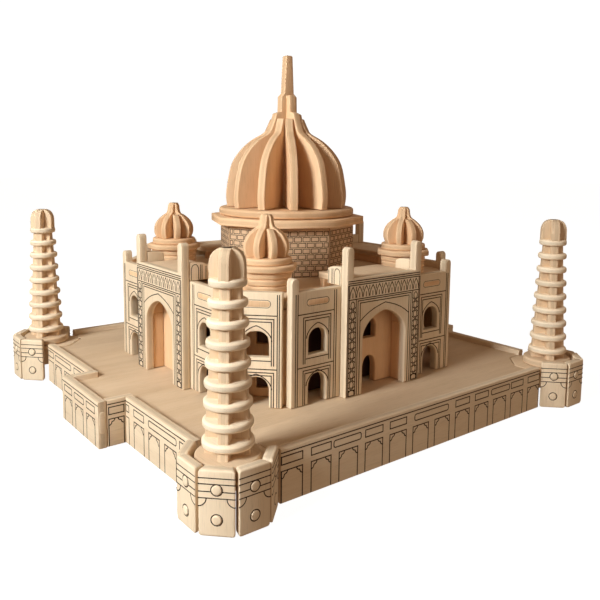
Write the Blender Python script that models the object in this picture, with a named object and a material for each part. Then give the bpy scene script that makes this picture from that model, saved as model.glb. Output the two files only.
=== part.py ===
"""Press-fit plywood model of a domed garden mausoleum on a plinth with four minarets.

The whole model is cut from flat plywood. Boards stand on a deck, discs and plates are threaded on
crossed planks, and the dome is a ring of upright ribs. Metres, +Z up, origin under the middle of the plinth.
"""
import math

import bmesh
import bpy
from mathutils import Matrix, Vector

MM = 0.001
GAP = 0.3 * MM                      # clearance between touching boards
PLY = 4.0 * MM                      # structural plywood
THIN_PLY = 3.0 * MM                 # plywood of discs and minaret planks

# plinth
WALL_X = 105.0 * MM                 # outer face of the two side walls
WALL_Y = 107.5 * MM                 # outer face of the front and back walls
WALL_TOP = 21.0 * MM                # the walls rise a little above the deck
BASTION_TOP = 23.4 * MM
BAY_X = 117.5 * MM                  # outer face of the stepped bay in each side
BAY_HALF = 22.5 * MM                # half width of the stepped bay
DECK_TOP = 18.5 * MM

# corner bastions and minarets
CORNER = 100.0 * MM                 # distance of each minaret's axis from the middle, along X and Y
BASTION_APOTHEM = 17.6 * MM
DISC_COUNT = 9
DISC_FIRST = 25.2 * MM              # underside of the lowest disc
DISC_PITCH = 7.14 * MM
DISC_R_LOW = 9.5 * MM
DISC_R_HIGH = 6.8 * MM
BASE_R = 12.0 * MM                  # plate that the minaret stands on
BASE_TOP = 22.4 * MM
CORE_LOW = 8.8 * MM                 # half width of the crossed planks at their foot
CORE_HIGH = 5.5 * MM
CAP_Z = 84.8 * MM                   # underside of the bell at the top of the planks
CAP_HALF = 6.4 * MM
MINARET_TOP = 95.7 * MM

# body of the mausoleum
FACADE = 73.0 * MM                  # outer face of the facade boards
FACADE_HALF = 51.4 * MM             # half width of a facade board
BODY_CORNER = 51.8 * MM             # where the faces of a facade and a corner board would meet
PORTAL_FACE = 77.3 * MM             # outer face of the portal boards
PORTAL_HALF = 24.0 * MM
ROOF_LINE = 50.7 * MM               # heights on the facades are measured from the deck
END_TOP = 56.7 * MM
PORTAL_LINE = 54.5 * MM
PINNACLE_TOP = 68.6 * MM
POST = 4.0 * MM                     # width of a pinnacle
BAY_CENTRE = 37.0 * MM              # middle of a side bay on the facade
OPENING_HALF = 5.1 * MM
SILL = 22.2 * MM
WINDOW_TOP = 33.8 * MM
DOOR_TOP = 13.6 * MM
ARCH_HALF = 13.9 * MM
ARCH_TOP = 37.8 * MM
FACADE_GAP_HALF = 18.6 * MM          # the facade is open this wide behind the portal
FACADE_GAP_TOP = 43.2 * MM
NICHE_FACE = 67.2 * MM
NICHE_HALF = 22.0 * MM
NICHE_TOP = 42.8 * MM
NICHE_OPENING_HALF = 4.2 * MM
CHAMFER_HALF = 11.1 * MM            # half width of a corner board
CHAMFER_OPENING_HALF = 5.6 * MM
ROOF_TOP = 66.0 * MM
PORTAL_ROOF_BACK = 52.0 * MM
PORTAL_ROOF_HALF = 19.6 * MM

# drum and dome
DRUM_R = 36.8 * MM
DRUM_TOP = 91.3 * MM
CORNICE_R = 42.0 * MM
DOME_DISC_R = 36.5 * MM
DOME_Z = 100.2 * MM
RIB_INNER = 8.9 * MM
LAP_Z = 140.0 * MM                  # the two full ribs are half-lapped at this height

# small corner domes
KIOSK = 45.0 * MM
KIOSK_PLATES = ((11.9, 4), (12.2, 4), (12.5, 4), (14.6, 4), (11.7, 10))    # radius in mm, half the corners
KIOSK_PITCH = 3.05 * MM             # from one plate of a kiosk to the next

SIDES = {"front": -90, "right": 0, "back": 90, "left": 180}
CORNERS = {"front_left": (-1, -1), "front_right": (1, -1), "back_left": (-1, 1), "back_right": (1, 1)}

WOODS = {}


def clear_scene():
    for old in list(bpy.data.objects):
        bpy.data.objects.remove(old)


def wood(name, colour, roughness=0.62):
    """A plain plywood finish."""
    if name not in WOODS:
        material = bpy.data.materials.new(name)
        material.use_nodes = True
        shader = material.node_tree.nodes["Principled BSDF"]
        shader.inputs["Base Color"].default_value = (*colour, 1.0)
        shader.inputs["Roughness"].default_value = roughness
        shader.inputs["Metallic"].default_value = 0.0
        WOODS[name] = material
    return WOODS[name]


def wall_wood():
    return wood("wall_plywood", (0.74, 0.56, 0.37))


def deck_wood():
    return wood("deck_plywood", (0.66, 0.47, 0.30))


def minaret_wood():
    return wood("minaret_plywood", (0.80, 0.62, 0.42))


def facade_wood():
    return wood("facade_plywood", (0.78, 0.60, 0.41))


def dome_wood():
    return wood("dome_plywood", (0.79, 0.60, 0.39))


def make(name, mesh, material, matrix=None):
    """Links one object, placed by its location and rotation."""
    obj = bpy.data.objects.new(name, mesh)
    if not mesh.materials:
        mesh.materials.append(material)
    if matrix is not None:
        obj.matrix_world = matrix
    bpy.context.collection.objects.link(obj)
    return obj


def board_mesh(name, outline, holes=(), thickness=PLY, bottom=0.0):
    """A flat board: the outline and its holes lie in the local XY plane and are extruded along +Z."""
    bm = bmesh.new()
    edges = []
    for loop in (outline, *holes):
        ring = [bm.verts.new((x, y, bottom)) for x, y in loop]
        edges += [bm.edges.new((ring[i - 1], ring[i])) for i in range(len(ring))]
    filled = bmesh.ops.triangle_fill(bm, use_beauty=True, edges=edges)
    faces = [item for item in filled["geom"] if isinstance(item, bmesh.types.BMFace)]
    raised = bmesh.ops.extrude_face_region(bm, geom=faces)
    top = [item for item in raised["geom"] if isinstance(item, bmesh.types.BMVert)]
    bmesh.ops.translate(bm, verts=top, vec=(0, 0, thickness))
    bmesh.ops.recalc_face_normals(bm, faces=bm.faces)
    mesh = bpy.data.meshes.new(name)
    bm.to_mesh(mesh)
    bm.free()
    return mesh


def upright(direction, distance):
    """Frame of a wall seen from outside: local X to the right, Y up, Z outwards to the outer face."""
    turn = Matrix.Rotation(math.radians(direction + 90), 4, "Z") @ Matrix.Rotation(math.pi / 2, 4, "X")
    outward = Vector((math.cos(math.radians(direction)), math.sin(math.radians(direction)), 0))
    return Matrix.Translation(outward * distance) @ turn


def rectangle(x_low, x_high, y_low, y_high):
    return [(x_low, y_low), (x_high, y_low), (x_high, y_high), (x_low, y_high)]


def polygon(radius, corners, turn=0.0, centre=(0.0, 0.0)):
    angles = [turn + 2 * math.pi * i / corners for i in range(corners)]
    return [(centre[0] + radius * math.cos(a), centre[1] + radius * math.sin(a)) for a in angles]


def arch(centre, half, bottom, top, spring_part=0.55, steps=4):
    """A pointed arch: straight jambs up to the spring line, then two elliptic curves to the crown."""
    rise = (top - bottom) * (1 - spring_part) if top - bottom > 2 * half else half
    spring = top - rise
    right = []
    for i in range(steps + 1):
        angle = math.pi / 2 * i / steps
        right.append((half * math.cos(angle) ** 0.8 if i < steps else 0.0, spring + rise * math.sin(angle)))
    left = [(-x, y) for x, y in reversed(right[:-1])]
    points = [(half, bottom)] + right + left + [(-half, bottom)]
    return [(centre + x, y) for x, y in points]


def bump_top(x_low, x_high, shoulder, top, steps=4):
    """The round top of a pinnacle, from its right shoulder over to its left one."""
    middle = (x_low + x_high) / 2
    radius = (x_high - x_low) / 2
    angles = [math.pi * i / steps for i in range(steps + 1)]
    cap = [(middle + radius * math.cos(a), top - radius + radius * math.sin(a)) for a in angles]
    return [(x_high, shoulder)] + cap + [(x_low, shoulder)]


def make_deck():
    """The deck fills the plinth between its walls and is notched round the bastions."""
    side = WALL_X - PLY - GAP
    end = WALL_Y - PLY - GAP
    bay = BAY_X - PLY - GAP
    bay_half = BAY_HALF - PLY - GAP
    near = CORNER - BASTION_APOTHEM - GAP
    far = CORNER - (BASTION_APOTHEM + GAP) * math.tan(math.radians(22.5))
    bay_edge = [(bay, 0.0), (bay, bay_half), (side, bay_half)]
    quarter = bay_edge + [(side, near), (far, near), (near, far), (near, end)]
    half = quarter + [(-x, y) for x, y in reversed(quarter)]
    outline = half + [(-x, -y) for x, y in half[1:-1]]
    mesh = board_mesh("deck", outline, bottom=DECK_TOP - PLY)
    make("deck", mesh, deck_wood())


def make_plinth_walls():
    """Two long walls, and five boards round the stepped bay on each side."""
    run_end = CORNER - BASTION_APOTHEM - GAP
    long_wall = board_mesh("long_wall", rectangle(-run_end, run_end, 0.0, WALL_TOP), bottom=-PLY)
    make("wall_front", long_wall, wall_wood(), upright(-90, WALL_Y))
    make("wall_back", long_wall, wall_wood(), upright(90, WALL_Y))
    run_start = BAY_HALF + GAP
    segment = board_mesh("side_segment", rectangle(run_start, run_end, 0.0, WALL_TOP), bottom=-PLY)
    mirrored = board_mesh("side_mirrored", rectangle(-run_end, -run_start, 0.0, WALL_TOP), bottom=-PLY)
    bay_front = board_mesh("bay_front", rectangle(-BAY_HALF, BAY_HALF, 0.0, WALL_TOP), bottom=-PLY)
    return_start = WALL_X - PLY
    return_end = BAY_X - PLY - GAP
    cheek = board_mesh("bay_cheek", rectangle(return_start, return_end, 0.0, WALL_TOP), bottom=-PLY)
    cheek_mirrored = board_mesh("cheek_mirrored", rectangle(-return_end, -return_start, 0.0, WALL_TOP),
                                bottom=-PLY)
    for side, direction in (("right", 0), ("left", 180)):
        first, second = ("back", "front") if side == "right" else ("front", "back")
        make(f"wall_{side}_{first}", segment, wall_wood(), upright(direction, WALL_X))
        make(f"wall_{side}_{second}", mirrored, wall_wood(), upright(direction, WALL_X))
        make(f"bay_{side}_front", bay_front, wall_wood(), upright(direction, BAY_X))
    make("bay_right_cheek_front", cheek, wall_wood(), upright(-90, BAY_HALF))
    make("bay_left_cheek_front", cheek_mirrored, wall_wood(), upright(-90, BAY_HALF))
    make("bay_right_cheek_back", cheek_mirrored, wall_wood(), upright(90, BAY_HALF))
    make("bay_left_cheek_back", cheek, wall_wood(), upright(90, BAY_HALF))


def union(target, tools):
    """Joins the tools to the target with exact booleans and returns the result's mesh."""
    for tool in tools:
        step = target.modifiers.new("join", "BOOLEAN")
        step.operation = "UNION"
        step.solver = "EXACT"
        step.object = tool
        tool.hide_render = True
        tool.display_type = "WIRE"
    graph = bpy.context.evaluated_depsgraph_get()
    mesh = bpy.data.meshes.new_from_object(target.evaluated_get(graph))
    for obj in (target, *tools):
        bpy.data.objects.remove(obj)
    return mesh


def bastion_shell():
    """Five boards on end round the outer side of a bastion, as one open ring; it points to -X, -Y."""
    to_corner = 1 / math.cos(math.radians(22.5))
    angles = [math.radians(112.5 + 45 * i) for i in range(6)]
    outer = BASTION_APOTHEM * to_corner
    inner = (BASTION_APOTHEM - PLY) * to_corner
    outline = [(outer * math.cos(a), outer * math.sin(a)) for a in angles]
    outline += [(inner * math.cos(a), inner * math.sin(a)) for a in reversed(angles)]
    return board_mesh("bastion_shell", outline, thickness=BASTION_TOP)


def bastion_floor():
    """The bastion's floor is level with the deck. It is let into the five boards, and meets the deck."""
    to_corner = 1 / math.cos(math.radians(22.5))
    outline = []
    for i in range(8):
        faces_deck = i in (0, 1)
        reach = (BASTION_APOTHEM if faces_deck else BASTION_APOTHEM - PLY / 2) * to_corner
        angle = math.radians(22.5 + 45 * i)
        outline.append((reach * math.cos(angle), reach * math.sin(angle)))
    return board_mesh("bastion_floor", outline, bottom=DECK_TOP - PLY)


def make_bastions():
    """A ring of five boards and its floor, turned so that its open side meets the deck."""
    shell = make("bastion_shell", bastion_shell(), wall_wood())
    mesh = union(shell, [make("bastion_floor", bastion_floor(), wall_wood())])
    turns = {"front_left": 0, "front_right": 90, "back_right": 180, "back_left": 270}
    for name, (x, y) in CORNERS.items():
        turn = Matrix.Rotation(math.radians(turns[name]), 4, "Z")
        make(f"bastion_{name}", mesh, wall_wood(), Matrix.Translation((x * CORNER, y * CORNER, 0)) @ turn)


def plank_outline():
    """Half the silhouette of a minaret plank is tapered, then widens into a bell; this is all of it."""
    foot = BASE_TOP - THIN_PLY / 2
    right = [(CORE_LOW, foot), (CORE_HIGH, CAP_Z), (CAP_HALF, CAP_Z)]
    bell = MINARET_TOP - CAP_Z
    for i in range(1, 5):
        angle = math.pi / 2 * i / 5
        right.append((CAP_HALF * math.cos(angle) ** 0.6, CAP_Z + bell * (0.4 + 0.6 * math.sin(angle))))
    right.append((CAP_HALF * 0.36, MINARET_TOP))
    return right + [(-x, z) for x, z in reversed(right)]


def crossed_planks(name, outline, thickness, angles, material):
    """Upright planks of one outline, crossed on the Z axis at the given angles in degrees."""
    planks = []
    for angle in angles:
        mesh = board_mesh(name, outline, thickness=thickness, bottom=-thickness / 2)
        turn = Matrix.Rotation(math.radians(angle), 4, "Z") @ Matrix.Rotation(math.pi / 2, 4, "X")
        planks.append(make(f"{name}_{angle}", mesh, material, turn))
    return planks


def make_minarets():
    """Two tapered planks crossed on the diagonals, let into a base plate and threaded with nine discs."""
    planks = crossed_planks("plank", plank_outline(), PLY, (45, 135), minaret_wood())
    foot = DECK_TOP + GAP
    base = board_mesh("base", polygon(BASE_R, 16), thickness=BASE_TOP - foot, bottom=foot)
    discs = [make("base", base, minaret_wood())]
    for i in range(DISC_COUNT):
        radius = DISC_R_LOW + (DISC_R_HIGH - DISC_R_LOW) * i / (DISC_COUNT - 1)
        mesh = board_mesh("disc", polygon(radius, 12, math.radians(15)), thickness=THIN_PLY,
                          bottom=DISC_FIRST + i * DISC_PITCH)
        discs.append(make(f"disc_{i}", mesh, minaret_wood()))
    mesh = union(discs[0], discs[1:] + planks)
    for name, (x, y) in CORNERS.items():
        make(f"minaret_{name}", mesh, minaret_wood(), Matrix.Translation((x * CORNER, y * CORNER, 0)))


def bay_openings(centre, half):
    """An upper window and a door below it, as holes and as a notch in the foot of the board."""
    window = arch(centre, half, SILL, WINDOW_TOP)
    door = arch(centre, half, 0.0, DOOR_TOP)
    return window, door


def make_facades():
    """The long facade board of each side, open at two bays and behind the portal."""
    left_window, left_door = bay_openings(-BAY_CENTRE, OPENING_HALF)
    right_window, right_door = bay_openings(BAY_CENTRE, OPENING_HALF)
    gap = [(FACADE_GAP_HALF, 0.0), (FACADE_GAP_HALF, FACADE_GAP_TOP),
           (-FACADE_GAP_HALF, FACADE_GAP_TOP), (-FACADE_GAP_HALF, 0.0)]
    foot = []
    for notch in (left_door, gap, right_door):
        foot += list(reversed(notch))
    right_end = bump_top(FACADE_HALF - POST, FACADE_HALF, ROOF_LINE, END_TOP)[1:]
    left_end = bump_top(-FACADE_HALF, -FACADE_HALF + POST, ROOF_LINE, END_TOP)[:-1]
    outline = ([(-FACADE_HALF, 0.0)] + foot + [(FACADE_HALF, 0.0)] + right_end + left_end)
    mesh = board_mesh("facade", outline, (left_window, right_window), bottom=-PLY)
    lift = Matrix.Translation((0, 0, DECK_TOP + GAP))
    for side, direction in SIDES.items():
        make(f"facade_{side}", mesh, facade_wood(), lift @ upright(direction, FACADE))


def make_portals():
    """The taller board in front of each facade, with a pinnacle at each end."""
    great_arch = arch(0.0, ARCH_HALF, 0.0, ARCH_TOP, spring_part=0.68, steps=6)
    right_end = bump_top(PORTAL_HALF - POST, PORTAL_HALF, PORTAL_LINE, PINNACLE_TOP)[1:]
    left_end = bump_top(-PORTAL_HALF, -PORTAL_HALF + POST, PORTAL_LINE, PINNACLE_TOP)[:-1]
    outline = ([(-PORTAL_HALF, 0.0)] + list(reversed(great_arch)) + [(PORTAL_HALF, 0.0)]
               + right_end + left_end)
    mesh = board_mesh("portal", outline, bottom=-PLY)
    lift = Matrix.Translation((0, 0, DECK_TOP + GAP))
    for side, direction in SIDES.items():
        make(f"portal_{side}", mesh, facade_wood(), lift @ upright(direction, PORTAL_FACE))


def make_niches():
    """The board at the back of each great arch, with a window over a door in its middle."""
    window = arch(0.0, NICHE_OPENING_HALF, SILL, WINDOW_TOP - 2 * MM)
    door = list(reversed(arch(0.0, NICHE_OPENING_HALF, 0.0, DOOR_TOP)))
    outline = [(-NICHE_HALF, 0.0)] + door + [(NICHE_HALF, 0.0), (NICHE_HALF, NICHE_TOP),
                                             (-NICHE_HALF, NICHE_TOP)]
    mesh = board_mesh("niche", outline, (window,), bottom=-PLY)
    lift = Matrix.Translation((0, 0, DECK_TOP + GAP))
    for side, direction in SIDES.items():
        make(f"niche_{side}", mesh, facade_wood(), lift @ upright(direction, NICHE_FACE))


def make_corner_boards():
    """The board across each corner of the body, with a window and a door."""
    window, door = bay_openings(0.0, CHAMFER_OPENING_HALF)
    outline = ([(-CHAMFER_HALF, 0.0)] + list(reversed(door))
               + [(CHAMFER_HALF, 0.0), (CHAMFER_HALF, ROOF_LINE), (-CHAMFER_HALF, ROOF_LINE)])
    mesh = board_mesh("corner_board", outline, (window,), bottom=-PLY)
    distance = (FACADE + BODY_CORNER) / math.sqrt(2)
    lift = Matrix.Translation((0, 0, DECK_TOP + GAP))
    for name, (x, y) in CORNERS.items():
        direction = math.degrees(math.atan2(y, x))
        make(f"corner_board_{name}", mesh, facade_wood(), lift @ upright(direction, distance))


def make_roof():
    """The roof plate fits inside the eight boards of the body."""
    edge = FACADE - PLY - GAP
    corner = (FACADE + BODY_CORNER) / math.sqrt(2) - PLY - GAP
    near = corner * math.sqrt(2) - edge
    quarter = [(edge, near), (near, edge)]
    half = quarter + [(-x, y) for x, y in reversed(quarter)]
    outline = half + [(-x, -y) for x, y in half]
    make("roof", board_mesh("roof", outline, bottom=ROOF_TOP - PLY), deck_wood())


def make_portal_roofs():
    """A flat plate behind the head of each portal, level with its top edge."""
    back = PORTAL_FACE - PLY - GAP - PORTAL_ROOF_BACK
    outline = rectangle(-PORTAL_ROOF_HALF, PORTAL_ROOF_HALF, -back, 0.0)
    mesh = board_mesh("portal_roof", outline, thickness=THIN_PLY, bottom=-THIN_PLY)
    height = DECK_TOP + PORTAL_LINE
    for side, direction in SIDES.items():
        angle = math.radians(direction)
        out = PORTAL_FACE - PLY - GAP
        place = Matrix.Translation((out * math.cos(angle), out * math.sin(angle), height))
        turn = Matrix.Rotation(angle - math.pi / 2, 4, "Z")
        make(f"portal_roof_{side}", mesh, facade_wood(), place @ turn)


def make_drum():
    """Eight boards on end under the dome, as one open tube standing on the roof."""
    to_corner = 1 / math.cos(math.radians(22.5))
    inner = DRUM_R - PLY * to_corner
    bottom = ROOF_TOP + GAP
    mesh = board_mesh("drum", polygon(DRUM_R, 8), (polygon(inner, 8),),
                      thickness=DRUM_TOP - bottom, bottom=bottom)
    make("drum", mesh, wall_wood())
    cornice_z = DRUM_TOP + GAP
    cornice = board_mesh("drum_cornice", polygon(CORNICE_R, 8), bottom=cornice_z)
    make("drum_cornice", cornice, dome_wood())
    disc = board_mesh("dome_disc", polygon(DOME_DISC_R, 40), bottom=cornice_z + PLY + GAP)
    make("dome_disc", disc, dome_wood())


def dome_profile():
    """Radius and height in mm up the edge of a rib: a swelling dome, two steps and a spire."""
    return ((32.2, 100.2), (32.8, 105.7), (32.1, 112.5), (29.9, 122.6), (25.6, 129.6), (19.7, 135.2),
            (13.6, 138.8), (12.0, 140.2), (9.4, 145.8), (8.3, 149.6), (5.2, 150.6), (5.0, 158.6),
            (3.0, 160.4), (2.0, 179.6), (1.4, 180.2))


def make_dome():
    """Two full ribs half-lapped on the axis and eight half ribs between them."""
    right = [(r * MM, z * MM) for r, z in dome_profile()]
    slot = PLY / 2 + GAP
    left = [(-r, z) for r, z in reversed(right)]
    upper_slot = [(slot, DOME_Z), (slot, LAP_Z), (-slot, LAP_Z), (-slot, DOME_Z)]
    lower = [(-r, z) for r, z in right if z < LAP_Z]
    lap_radius = 11.0 * MM
    lower_right = [(-x, z) for x, z in lower] + [(lap_radius, LAP_Z - GAP)]
    lower_left = [(-x, z) for x, z in reversed(lower_right)]
    head = board_mesh("dome_rib_upper", right + left + list(reversed(upper_slot)), bottom=-PLY / 2)
    base = board_mesh("dome_rib_lower", lower_right + lower_left, bottom=-PLY / 2)
    stand = Matrix.Rotation(math.pi / 2, 4, "X")
    make("dome_rib_through_x", head, dome_wood(), stand)
    make("dome_rib_through_y", base, dome_wood(), Matrix.Rotation(math.pi / 2, 4, "Z") @ stand)
    inner = RIB_INNER
    outer = [(r * MM, z * MM) for r, z in dome_profile() if r * MM > inner + 3 * MM and z * MM < LAP_Z]
    half_rib = [(inner, DOME_Z)] + outer + [(inner, LAP_Z - GAP)]
    mesh = board_mesh("dome_half_rib", half_rib, bottom=-PLY / 2)
    for angle in (30, 60, 120, 150, 210, 240, 300, 330):
        turn = Matrix.Rotation(math.radians(angle), 4, "Z")
        make(f"dome_half_rib_{angle:03d}", mesh, dome_wood(), turn @ stand)


def kiosk_profile(foot, narrowest=0.0):
    """Edge of a small dome's plank in mm above its foot: a round dome and a blunt finial."""
    shape = ((9.6, 0.0), (10.8, 3.2), (10.6, 6.4), (9.0, 9.6), (6.2, 12.2), (3.9, 13.8), (3.1, 16.0),
             (2.9, 17.8), (1.9, 19.3))
    right = [(r * MM, foot + z * MM) for r, z in shape if r > narrowest]
    return right + [(-x, z) for x, z in reversed(right)]


def make_kiosks():
    """A stack of five plates with a small dome of crossed planks, at each corner of the roof."""
    base = ROOF_TOP + GAP
    plates = []
    for i, (radius, half_corners) in enumerate(KIOSK_PLATES):
        corners = 2 * half_corners
        mesh = board_mesh("kiosk_plate", polygon(radius * MM, corners, math.pi / corners),
                          thickness=KIOSK_PITCH + GAP, bottom=base + i * KIOSK_PITCH)
        plates.append(make(f"kiosk_plate_{i}", mesh, dome_wood()))
    foot = base + len(plates) * KIOSK_PITCH
    planks = crossed_planks("kiosk_plank", kiosk_profile(foot), THIN_PLY, (30, 120), dome_wood())
    planks += crossed_planks("kiosk_short_plank", kiosk_profile(foot, 5.0), THIN_PLY, (75, 165), dome_wood())
    mesh = union(plates[0], plates[1:] + planks)
    for name, (x, y) in CORNERS.items():
        make(f"kiosk_{name}", mesh, dome_wood(), Matrix.Translation((x * KIOSK, y * KIOSK, 0)))


clear_scene()
make_deck()
make_plinth_walls()
make_bastions()
make_minarets()
make_facades()
make_portals()
make_niches()
make_corner_boards()
make_roof()
make_portal_roofs()
make_drum()
make_dome()
make_kiosks()
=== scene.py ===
"""A press-fit plywood model of a domed garden mausoleum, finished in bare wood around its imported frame.

Lengths are in millimetres until a mesh is made. A board is drawn in its own plane, X to the right and
Y up, and its thickness runs along Z up to the outer face.
"""

import bpy
import numpy as np
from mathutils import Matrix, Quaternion, Vector
from mathutils.geometry import tessellate_polygon


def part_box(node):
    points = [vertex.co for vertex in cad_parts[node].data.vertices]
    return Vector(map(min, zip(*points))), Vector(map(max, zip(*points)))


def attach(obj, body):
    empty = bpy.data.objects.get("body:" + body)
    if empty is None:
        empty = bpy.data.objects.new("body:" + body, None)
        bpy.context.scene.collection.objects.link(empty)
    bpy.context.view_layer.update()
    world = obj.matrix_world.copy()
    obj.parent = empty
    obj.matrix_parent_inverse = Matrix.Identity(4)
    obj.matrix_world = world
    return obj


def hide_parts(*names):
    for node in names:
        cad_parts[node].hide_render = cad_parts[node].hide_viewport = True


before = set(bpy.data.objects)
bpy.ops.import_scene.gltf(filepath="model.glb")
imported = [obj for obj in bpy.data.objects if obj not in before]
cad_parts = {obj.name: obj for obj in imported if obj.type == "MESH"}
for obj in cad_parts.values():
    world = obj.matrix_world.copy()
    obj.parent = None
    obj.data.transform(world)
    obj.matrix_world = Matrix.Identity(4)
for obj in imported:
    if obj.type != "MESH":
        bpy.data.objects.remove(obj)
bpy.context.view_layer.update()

# ---- the deck -------------------------------------------------------------------------------------
# One sheet of bare three-layer plywood that everything else plugs into. It is sawn to the stepped
# outline of the plinth, notched round the four bastions, and its arrises are tumbled to a small round.
METRE = 1000.0
ARRIS = 0.4
sheet_luck = np.random.default_rng(11)


def cad(node):
    """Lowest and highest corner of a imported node, in millimetres."""
    low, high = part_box(node)
    return np.array(low) * METRE, np.array(high) * METRE


def shrink(loop, distance):
    """Moves each corner of a closed loop to its left by the distance, along the mitre of its two edges."""
    ahead = np.roll(loop, -1, axis=0) - loop
    ahead = ahead / np.linalg.norm(ahead, axis=1, keepdims=True)
    left = np.stack([-ahead[:, 1], ahead[:, 0]], axis=1)
    before = np.roll(left, 1, axis=0)
    spread = np.maximum(1 + (left * before).sum(axis=1, keepdims=True), 0.35)
    return loop + distance * (left + before) / spread


def cut(outline, holes, thick, place, arris=ARRIS, taper=0.0):
    """One board. Its rim profile is a quarter round, a straight band and a quarter round, carried along
    the outline and every hole; the two faces are filled between those loops. Taper narrows the back: at a
    height z the width is that of the front times 1 - taper * (1 - z / thick)."""
    quarter = np.linspace(0, np.pi / 2, 4)
    inset = np.concatenate([arris * (1 - np.sin(quarter)), arris * (1 - np.cos(quarter))])
    height = np.concatenate([arris * (1 - np.cos(quarter)), thick - arris * (1 - np.sin(quarter))])
    worn = np.concatenate([quarter, quarter[::-1]]) / (np.pi / 2)
    loops = [np.asarray(outline, float)] + [np.asarray(hole, float)[::-1] for hole in holes]
    points, faces, start = [], [], 0
    lids = [[], []]
    for loop in loops:
        count = len(loop)
        rings = np.stack([np.column_stack([shrink(loop, i), np.full(count, h)])
                          for i, h in zip(inset, height)])
        points.append(rings.reshape(-1, 3))
        index = start + np.arange(rings.shape[0] * count).reshape(rings.shape[0], count)
        after = np.roll(index, -1, axis=1)
        faces += np.stack([index[:-1], after[:-1], after[1:], index[1:]], axis=-1).reshape(-1, 4).tolist()
        lids[0].append(index[0])
        lids[1].append(index[-1])
        start += rings.shape[0] * count
    flat = np.concatenate(points)
    banded = len(faces)
    for lid, upward in zip(lids, (False, True)):
        corner = np.concatenate(lid)
        fill = np.array(tessellate_polygon([[(*flat[i, :2], 0.0) for i in ring] for ring in lid]))
        a, b, c = (flat[corner[fill[:, k]], :2] for k in range(3))
        area = (b[:, 0] - a[:, 0]) * (c[:, 1] - a[:, 1]) - (b[:, 1] - a[:, 1]) * (c[:, 0] - a[:, 0])
        turned = (area > 0) != upward
        fill[turned] = fill[turned][:, ::-1]
        faces += corner[fill].tolist()
    rim = np.concatenate([np.repeat(worn, len(loop)) for loop in loops])
    ply = flat[:, 2] / thick
    luck = sheet_luck.uniform(0, 1, 4)
    shaped = flat.copy()
    shaped[:, 0] *= 1 - taper * (1 - ply)
    origin, *axes = place
    return {"points": origin + shaped @ np.array(axes), "faces": faces, "banded": banded,
            "grain": flat + luck[:3] * (310, 310, 40),
            "edge": np.column_stack([rim, ply, np.full(len(flat), luck[3])])}


def flat_at(x, y, z, turn=0.0):
    """The place of a board lying level with its underside at z, turned about Z by degrees."""
    angle = np.radians(turn)
    right = np.array([np.cos(angle), np.sin(angle), 0.0])
    return np.array([x, y, z], float), right, np.array([-right[1], right[0], 0.0]), np.array([0.0, 0, 1])


def piece(name, cuts, material, slot, *nodes):
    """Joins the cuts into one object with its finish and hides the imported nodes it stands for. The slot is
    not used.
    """
    faces, start = [], 0
    for one in cuts:
        faces += [[i + start for i in face] for face in one["faces"]]
        start += len(one["points"])
    mesh = bpy.data.meshes.new(name)
    mesh.from_pydata(np.concatenate([one["points"] for one in cuts]) / METRE, [], faces)
    for layer, key in (("sheet", "grain"), ("edge", "edge")):
        values = mesh.attributes.new(layer, "FLOAT_VECTOR", "POINT")
        values.data.foreach_set("vector", np.concatenate([one[key] for one in cuts]).ravel())
    smooth = np.concatenate([np.arange(len(one["faces"])) < one["banded"] for one in cuts])
    mesh.polygons.foreach_set("use_smooth", smooth)
    mesh.set_sharp_from_angle(angle=np.radians(48))
    mesh.materials.append(material)
    made = bpy.data.objects.new(name, mesh)
    bpy.context.collection.objects.link(made)
    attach(made, "root")
    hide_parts(*nodes)


class Wire:
    """A value on its way through a material's nodes; arithmetic on it adds Math nodes."""

    def __init__(self, tree, socket=None):
        self.tree = tree
        self.socket = socket

    def node(self, kind, inputs=(), **settings):
        """Adds one node: its settings first, then the values or links of its sockets."""
        made = self.tree.nodes.new(kind)
        for key, value in settings.items():
            setattr(made, key, value)
        for key, value in dict(inputs).items():
            if isinstance(value, Wire):
                self.tree.links.new(value.socket, made.inputs[key])
            else:
                made.inputs[key].default_value = value
        return [Wire(self.tree, out) for out in made.outputs]

    def math(self, operation, *values):
        return self.node("ShaderNodeMath", enumerate(values), operation=operation)[0]

    def __add__(self, other):
        return self.math("ADD", self, other)

    def __sub__(self, other):
        return self.math("SUBTRACT", self, other)

    def __rsub__(self, other):
        return self.math("SUBTRACT", other, self)

    def __mul__(self, other):
        return self.math("MULTIPLY", self, other)

    __radd__ = __add__
    __rmul__ = __mul__

    def size(self):
        return self.math("ABSOLUTE", self)

    def step(self, low, high):
        """0 below low, 1 above high, and a smooth rise between."""
        inputs = {0: self, 1: low, 2: high}
        return self.node("ShaderNodeMapRange", inputs, interpolation_type="SMOOTHSTEP")[0]

    def scaled(self, x, y, z):
        return self.node("ShaderNodeVectorMath", {0: self, 1: (x, y, z)}, operation="MULTIPLY")[0]

    def noise(self, scale, detail=3.0, roughness=0.55):
        """Fractal noise from 0 to 1 on this vector."""
        inputs = {"Vector": self, "Scale": scale, "Detail": detail, "Roughness": roughness}
        return self.node("ShaderNodeTexNoise", inputs)[0]

    def blend(self, first, second):
        """Two colours mixed by this factor."""
        return self.node("ShaderNodeMix", {0: self, 6: first, 7: second}, data_type="RGBA")[2]

    def feed(self, socket):
        self.tree.links.new(self.socket, socket)


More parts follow.
